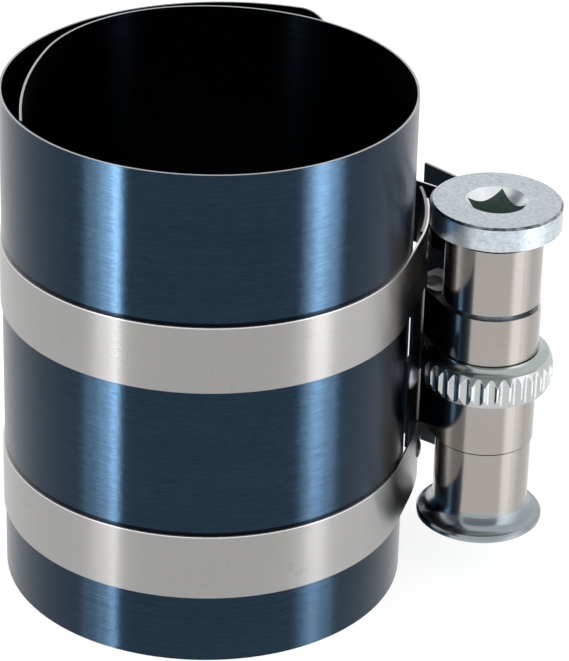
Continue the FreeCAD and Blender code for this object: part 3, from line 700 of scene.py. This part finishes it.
class StripSettings(bpy.types.PropertyGroup):
    colour: FloatVectorProperty(name="Strip", description="Colour of the satin straps", subtype="COLOR",
                                size=3, min=0.0, max=1.0, default=(0.365, 0.36, 0.355))
    roughness: FloatProperty(name="Roughness", description="Roughness of the straps",
                             subtype="FACTOR", min=0.1, max=1.0, default=0.28)
    bright: FloatVectorProperty(name="Polished strip", description="Colour of the coils and the housing",
                                subtype="COLOR", size=3, min=0.0, max=1.0, default=(0.39, 0.365, 0.34))
    polish: FloatProperty(name="Polish", description="Roughness of the wound coils and the housing",
                          subtype="FACTOR", min=0.05, max=1.0, default=0.15)


class SpindleSettings(bpy.types.PropertyGroup):
    plating: FloatVectorProperty(name="Plating", description="Colour of the plated head", subtype="COLOR",
                                 size=3, min=0.0, max=1.0, default=(0.51, 0.56, 0.60))
    foot: FloatVectorProperty(name="Foot", description="Colour of the plated foot", subtype="COLOR",
                              size=3, min=0.0, max=1.0, default=(0.32, 0.36, 0.385))
    roughness: FloatProperty(name="Roughness", description="Roughness of the plated head",
                             subtype="FACTOR", min=0.05, max=1.0, default=0.3)
    socket_rim: FloatProperty(name="Socket rim", description="Radius of the countersink's mouth",
                              subtype="DISTANCE", default=4.7 * MM)


class WheelSettings(bpy.types.PropertyGroup):
    colour: FloatVectorProperty(name="Wheel", description="Colour of the ratchet wheel", subtype="COLOR",
                                size=3, min=0.0, max=1.0, default=(0.54, 0.56, 0.565))
    teeth: IntProperty(name="Teeth", description="Number of ridges round the wheel", min=3, default=32)
    columns: IntProperty(name="Columns", description="Points across one flute", min=4, default=17)
    ridge_radius: FloatProperty(name="Ridge radius", description="Radius over the ridges",
                                subtype="DISTANCE", default=10.17 * MM)
    flute_depth: FloatProperty(name="Flute depth", description="Depth of a flute at its middle",
                               subtype="DISTANCE", default=0.52 * MM)
    land: FloatProperty(name="Land", description="Width of a ridge's worn top",
                        subtype="DISTANCE", default=0.16 * MM)
    first_ridge: FloatProperty(name="First ridge", description="Direction of a ridge, under the pawl",
                               subtype="ANGLE", default=math.radians(95.0))
    tooth_height: FloatProperty(name="Tooth height", description="Height of the fluted rim",
                                subtype="DISTANCE", default=5.1 * MM)
    end_chamfer: FloatProperty(name="End chamfer", description="How far the rim's ends draw in",
                               subtype="DISTANCE", default=0.6 * MM)
    end_bevel: FloatProperty(name="End bevel", description="Height over which the ends draw in",
                             subtype="DISTANCE", default=1.5 * MM)
    bevel_steps: IntProperty(name="Bevel steps", description="Rows along each bevel", min=1, default=12)
    cone_base: FloatProperty(name="Cone base", description="Radius at the foot of the hollow cone",
                             subtype="DISTANCE", default=9.3 * MM)
    cone_top: FloatProperty(name="Cone top", description="Radius at the top of the hollow cone",
                            subtype="DISTANCE", default=7.95 * MM)
    journal_radius: FloatProperty(name="Journal", description="Radius of the boss under the wheel",
                                  subtype="DISTANCE", default=7.2 * MM)
    bore_radius: FloatProperty(name="Bore", description="Radius of the wheel's bore",
                               subtype="DISTANCE", default=5.57 * MM)


class RivetSettings(bpy.types.PropertyGroup):
    head_radius: FloatProperty(name="Head radius", description="Radius of a rivet's head",
                               subtype="DISTANCE", default=1.5 * MM)
    head_height: FloatProperty(name="Head height", description="Height of a rivet's head",
                               subtype="DISTANCE", default=0.5 * MM)
    shank_radius: FloatProperty(name="Shank radius", description="Radius of a rivet's shank",
                                subtype="DISTANCE", default=1.0 * MM)
    sides: IntProperty(name="Sides", description="Steps round a rivet", min=8, default=24)


class StudioSettings(bpy.types.PropertyGroup):
    left_lamp: FloatProperty(name="Left lamp", description="Radiance of the tall lamps at the left",
                             min=0.0, default=24.0)
    right_lamp: FloatProperty(name="Right lamp", description="Radiance of the tall lamps at the right",
                              min=0.0, default=20.0)
    strap_lamp: FloatProperty(name="Strap lamps", description="Radiance of the lamps on the straps",
                              min=0.0, default=4.5)
    windows: FloatProperty(name="Windows", description="Radiance of the soft lamps on the other pieces",
                           min=0.0, default=0.7)
    card: FloatProperty(name="Front card", description="Grey of the card behind the camera",
                        subtype="FACTOR", min=0.0, max=1.0, default=0.45)


# Steps

class COMPRESSOR_OT_sleeve(bpy.types.Operator):
    """Give the coiled sleeve its blue brushed finish"""
    bl_idname = "compressor.sleeve"
    bl_label = "Sleeve"

    def execute(self, context):
        settings = context.scene.compressor_sleeve
        steel = blued_steel("blued_sleeve", tuple(settings.colour), settings.roughness,
                            settings.brushing, tuple(settings.rim), sleeve_marks)
        finish_nodes(BRUSHED, steel)
        return {"FINISHED"}


class COMPRESSOR_OT_straps(bpy.types.Operator):
    """Give the straps, their wound ends and the housing their rolled finish"""
    bl_idname = "compressor.straps"
    bl_label = "Straps"

    def execute(self, context):
        settings = context.scene.compressor_strip
        satin = strip_steel("satin_strap", tuple(settings.colour), settings.roughness, anisotropic=0.85,
                            streak=0.03, bands=STRAPS)
        finish_nodes(STRAPS, satin)
        polished = strip_steel("polished_strip", tuple(settings.bright), settings.polish, anisotropic=0.3,
                               streak=0.05, offset=SPINDLE_AXIS)
        finish_nodes(COILS, polished)
        return {"FINISHED"}


class COMPRESSOR_OT_plates(bpy.types.Operator):
    """Finish the shoe, the guard plate and the pawl's bracket"""
    bl_idname = "compressor.plates"
    bl_label = "Plates"

    def execute(self, context):
        sleeve = context.scene.compressor_sleeve
        tint = tuple(PLATE_SHADE * value for value in sleeve.colour)
        plate = blued_steel("blued_plate", tint, roughness=0.4, anisotropic=0.3, rim=PLATE_RIM)
        finish_nodes(("shoe_plate", "guard_plate"), plate)
        dark = strip_steel("dull_bracket", BRACKET_STEEL, roughness=0.45, anisotropic=0.2, streak=0.08,
                           offset=SPINDLE_AXIS)
        finish_nodes(("pawl_carrier",), dark)
        return {"FINISHED"}


class COMPRESSOR_OT_rivets(bpy.types.Operator):
    """Set the rivets in their seats and finish the pins"""
    bl_idname = "compressor.rivets"
    bl_label = "Rivets"

    def execute(self, context):
        settings = context.scene.compressor_rivets
        steel = turned_steel("rivet_steel", RIVET_STEEL, roughness=0.35, ring_pitch=0.6 * MM,
                             ring_depth=0.02 * MM)
        tree = rivet_tree()
        for node in RIVET_SETS:
            solids = solids_of(node)
            grip = solids[0][2] - 2 * settings.head_height
            source = point_mesh(node + "_seats", [s[0] for s in solids], [s[1] for s in solids])
            mesh = baked(node + "_finished", source, tree, {
                "Head radius": settings.head_radius, "Head height": settings.head_height,
                "Shank radius": settings.shank_radius, "Grip": grip, "Sides": settings.sides,
                "Material": steel})
            soften(mesh, RIVET_CREASE)
            stand_for(node, mesh, steel)
        finish_nodes(("shoe_rivet", "wheel_pin", "pawl_pin"), steel)
        return {"FINISHED"}


class COMPRESSOR_OT_spindle(bpy.types.Operator):
    """Finish the plated spindle and its foot flange"""
    bl_idname = "compressor.spindle"
    bl_label = "Spindle"

    def execute(self, context):
        settings = context.scene.compressor_spindle
        head = turned_steel("plated_head", tuple(settings.plating), settings.roughness,
                            ring_pitch=0.3 * MM, ring_depth=0.03 * MM, marks=head_marks)
        finish_nodes(("spindle",), head)
        foot = turned_steel("plated_foot", tuple(settings.foot), roughness=0.2, ring_pitch=0.3 * MM,
                            ring_depth=0.01 * MM)
        finish_nodes(("spindle_foot",), foot)
        return {"FINISHED"}


class COMPRESSOR_OT_wheel(bpy.types.Operator):
    """Make the fluted ratchet wheel"""
    bl_idname = "compressor.wheel"
    bl_label = "Ratchet wheel"

    def execute(self, context):
        settings = context.scene.compressor_wheel
        steel = turned_steel("ratchet_steel", tuple(settings.colour), roughness=0.17,
                             ring_pitch=0.25 * MM, ring_depth=0.006 * MM, marks=wheel_marks)
        pitch = 2 * math.pi * settings.ridge_radius / settings.teeth
        source = point_mesh("wheel_section", wheel_section(settings))
        mesh = baked("ratchet_wheel_finished", source, fluted_wheel_tree(), {
            "Teeth": settings.teeth, "Columns": settings.columns, "Ridge radius": settings.ridge_radius,
            "Flute depth": settings.flute_depth, "Land share": settings.land / pitch,
            "First ridge": settings.first_ridge, "Material": steel})
        mesh.transform(Matrix.Translation(Vector((SPINDLE_AXIS.x, SPINDLE_AXIS.y, 0.0))))
        soften(mesh, WHEEL_CREASE, turn_out=True)
        stand_for("ratchet_wheel", mesh, steel)
        return {"FINISHED"}


class COMPRESSOR_OT_pawl(bpy.types.Operator):
    """Finish the ratchet pawl and its spring"""
    bl_idname = "compressor.pawl"
    bl_label = "Pawl"

    def execute(self, context):
        hard = strip_steel("pawl_steel", PAWL_STEEL, roughness=0.38, anisotropic=0.1, streak=0.08,
                           offset=SPINDLE_AXIS)
        finish_nodes(("pawl",), hard)
        wire = strip_steel("spring_wire", SPRING_STEEL, roughness=0.3, anisotropic=0.0, streak=0.05,
                           offset=SPINDLE_AXIS)
        finish_nodes(("pawl_spring",), wire)
        return {"FINISHED"}


def tall_lamp(name, azimuth, width, span, radiance, receivers):
    """Upright rectangular lamp that faces the sleeve's axis and lights only one group."""
    height, middle = span
    data = bpy.data.lights.new(name, "AREA")
    data.shape = "RECTANGLE"
    data.size = width
    data.size_y = height
    data.energy = radiance * width * height * math.pi
    lamp = bpy.data.objects.new(name, data)
    turn = math.radians(azimuth)
    place = Vector((math.sin(turn) * LAMP_DISTANCE, -math.cos(turn) * LAMP_DISTANCE, middle))
    aim = Vector((0.0, 0.0, middle)) - place
    lamp.matrix_world = Matrix.Translation(place) @ aim.to_track_quat("-Z", "Y").to_matrix().to_4x4()
    bpy.context.scene.collection.objects.link(lamp)
    lamp.light_linking.receiver_collection = receivers


def plane(name, corners, material):
    """A flat piece of the studio."""
    mesh = bpy.data.meshes.new(name)
    mesh.from_pydata(corners, [], [(0, 1, 2, 3)])
    mesh.materials.append(material)
    piece = bpy.data.objects.new(name, mesh)
    bpy.context.scene.collection.objects.link(piece)
    return piece


class COMPRESSOR_OT_studio(bpy.types.Operator):
    """Build the white floor and surround, the lamps and the camera"""
    bl_idname = "compressor.studio"
    bl_label = "Studio"

    def execute(self, context):
        settings = context.scene.compressor_studio
        scene = context.scene
        scene.view_settings.view_transform = "Standard"
        self.surround(scene)
        self.floor()
        self.front_card(settings.card)
        self.lamps(settings)
        self.camera(scene)
        return {"FINISHED"}

    def group(self, name, nodes):
        """A collection of the finished nodes, for lamps that light only them."""
        collection = bpy.data.collections.new(name)
        for node in nodes:
            collection.objects.link(bpy.data.objects[node + "_finished"])
        return collection

    def lamps(self, settings):
        """The lamps of the sleeve, then those of the straps, then those of the rest and the floor."""
        brushed = self.group("brushed_pieces", BRUSHED)
        straps = self.group("strap_pieces", STRAPS)
        polished = self.group("polished_pieces", [n for n in frame["nodes"] if n not in BRUSHED + STRAPS])
        polished.objects.link(bpy.data.objects["studio_floor"])
        for name, rows, span, radiance, receivers in (
                ("lamp_left", LEFT_LAMPS, LAMP_SPAN, settings.left_lamp, brushed),
                ("lamp_right", RIGHT_LAMPS, LAMP_SPAN, settings.right_lamp, brushed),
                ("strap_lamp", STRAP_LAMPS, LAMP_SPAN, settings.strap_lamp, straps),
                ("window_right", RIGHT_WINDOWS, WINDOW_SPAN, settings.windows, polished),
                ("window_left", LEFT_WINDOWS, WINDOW_SPAN, settings.windows, polished)):
            for azimuth, width, share in rows:
                tall_lamp(name, azimuth, width, span, radiance * share, receivers)

    def surround(self, scene):
        world = bpy.data.worlds.new("studio_surround")
        scene.world = world
        world.use_nodes = True
        background = world.node_tree.nodes["Background"]
        background.inputs["Color"].default_value = WHITE
        background.inputs["Strength"].default_value = 1.0

    def floor(self):
        """White paper that takes the object's shadow. The metal mirrors the white surround instead of it."""
        half = FLOOR_HALF
        level = CAD_LOW.z - FLOOR_GAP
        corners = [(-half, -half, level), (half, -half, level), (half, half, level), (-half, half, level)]
        material = bpy.data.materials.new("floor_paper")
        material.use_nodes = True
        tree = material.node_tree
        tree.nodes.clear()
        output = add(tree, "ShaderNodeOutputMaterial")
        glow = add(tree, "ShaderNodeEmission")
        glow.inputs["Strength"].default_value = FLOOR_GLOW
        paper = add(tree, "ShaderNodeBsdfDiffuse")
        paper.inputs["Color"].default_value = SEEN_PAPER
        lit = add(tree, "ShaderNodeAddShader")
        tree.links.new(glow.outputs["Emission"], lit.inputs[0])
        tree.links.new(paper.outputs["BSDF"], lit.inputs[1])
        plain = add(tree, "ShaderNodeBsdfDiffuse")
        plain.inputs["Color"].default_value = PLAIN_PAPER
        path = add(tree, "ShaderNodeLightPath")
        seen = math_node(tree, "MAXIMUM", path.outputs["Is Camera Ray"], path.outputs["Is Glossy Ray"])
        seen = math_node(tree, "MAXIMUM", seen, path.outputs["Is Transmission Ray"])
        mixed = add(tree, "ShaderNodeMixShader")
        tree.links.new(seen, mixed.inputs["Fac"])
        tree.links.new(plain.outputs["BSDF"], mixed.inputs[1])
        tree.links.new(lit.outputs["Shader"], mixed.inputs[2])
        tree.links.new(mixed.outputs["Shader"], output.inputs["Surface"])
        paper_sheet = plane("studio_floor", corners, material)
        paper_sheet.visible_shadow = False
        paper_sheet.visible_glossy = False

    def front_card(self, grey):
        """Grey card behind the camera, which the metal mirrors."""
        material, _, shader = new_material("card_paper", (grey, grey, grey), 1.0, 0.0)
        shader.inputs["Specular IOR Level"].default_value = 0.0
        half, away, low, high = 1.1, -1.3, 0.0, 1.6
        corners = [(-half, away, low), (half, away, low), (half, away, high), (-half, away, high)]
        card = plane("front_card", corners, material)
        card.visible_camera = False
        card.visible_shadow = False

    def camera(self, scene):
        """The camera, with the lens, the place and the turns that were fitted to the photo."""
        data = bpy.data.cameras.new("studio_camera")
        data.sensor_width = 36.0
        data.lens = 176.154
        data.clip_start = 0.05
        data.clip_end = 20.0
        camera = bpy.data.objects.new("studio_camera", data)
        place = Vector((0.0, -0.434485, 0.270892))
        yaw, pitch, roll = (math.radians(angle) for angle in (1.57, 28.018, 1.578))
        ahead = Vector((math.sin(yaw) * math.cos(pitch), math.cos(yaw) * math.cos(pitch), -math.sin(pitch)))
        side = Vector((math.cos(yaw), -math.sin(yaw), 0.0))
        above = side.cross(ahead)
        right = side * math.cos(roll) + above * math.sin(roll)
        up = above * math.cos(roll) - side * math.sin(roll)
        turn = Matrix((right, up, -ahead)).transposed().to_4x4()
        camera.matrix_world = Matrix.Translation(place) @ turn
        scene.collection.objects.link(camera)
        scene.camera = camera


class COMPRESSOR_PT_panel(bpy.types.Panel):
    """Lists the compressor's settings and the steps that finish it"""
    bl_idname = "COMPRESSOR_PT_panel"
    bl_label = "Piston ring compressor"
    bl_space_type = "VIEW_3D"
    bl_region_type = "UI"
    bl_category = "Compressor"

    def draw(self, context):
        layout = self.layout
        for owner, group in SETTINGS.items():
            box = layout.box()
            settings = getattr(context.scene, owner)
            for name in group.__annotations__:
                box.prop(settings, name)
        for operator in OPERATORS:
            layout.operator(operator.bl_idname)


SETTINGS = {
    "compressor_sleeve": SleeveSettings,
    "compressor_strip": StripSettings,
    "compressor_spindle": SpindleSettings,
    "compressor_wheel": WheelSettings,
    "compressor_rivets": RivetSettings,
    "compressor_studio": StudioSettings,
}
OPERATORS = (
    COMPRESSOR_OT_sleeve,
    COMPRESSOR_OT_straps,
    COMPRESSOR_OT_plates,
    COMPRESSOR_OT_rivets,
    COMPRESSOR_OT_spindle,
    COMPRESSOR_OT_wheel,
    COMPRESSOR_OT_pawl,
    COMPRESSOR_OT_studio,
)


def register():
    for owner, group in SETTINGS.items():
        bpy.utils.register_class(group)
        setattr(bpy.types.Scene, owner, bpy.props.PointerProperty(type=group))
    for operator in OPERATORS:
        bpy.utils.register_class(operator)
    bpy.utils.register_class(COMPRESSOR_PT_panel)


def unregister():
    bpy.utils.unregister_class(COMPRESSOR_PT_panel)
    for operator in reversed(OPERATORS):
        bpy.utils.unregister_class(operator)
    for owner, group in SETTINGS.items():
        delattr(bpy.types.Scene, owner)
        bpy.utils.unregister_class(group)


def main():
    register()
    for operator in OPERATORS:
        family, name = operator.bl_idname.split(".")
        result = getattr(getattr(bpy.ops, family), name)()
        if result != {"FINISHED"}:
            raise RuntimeError(operator.bl_label + " didn't finish")


if __name__ == "__main__":
    main()
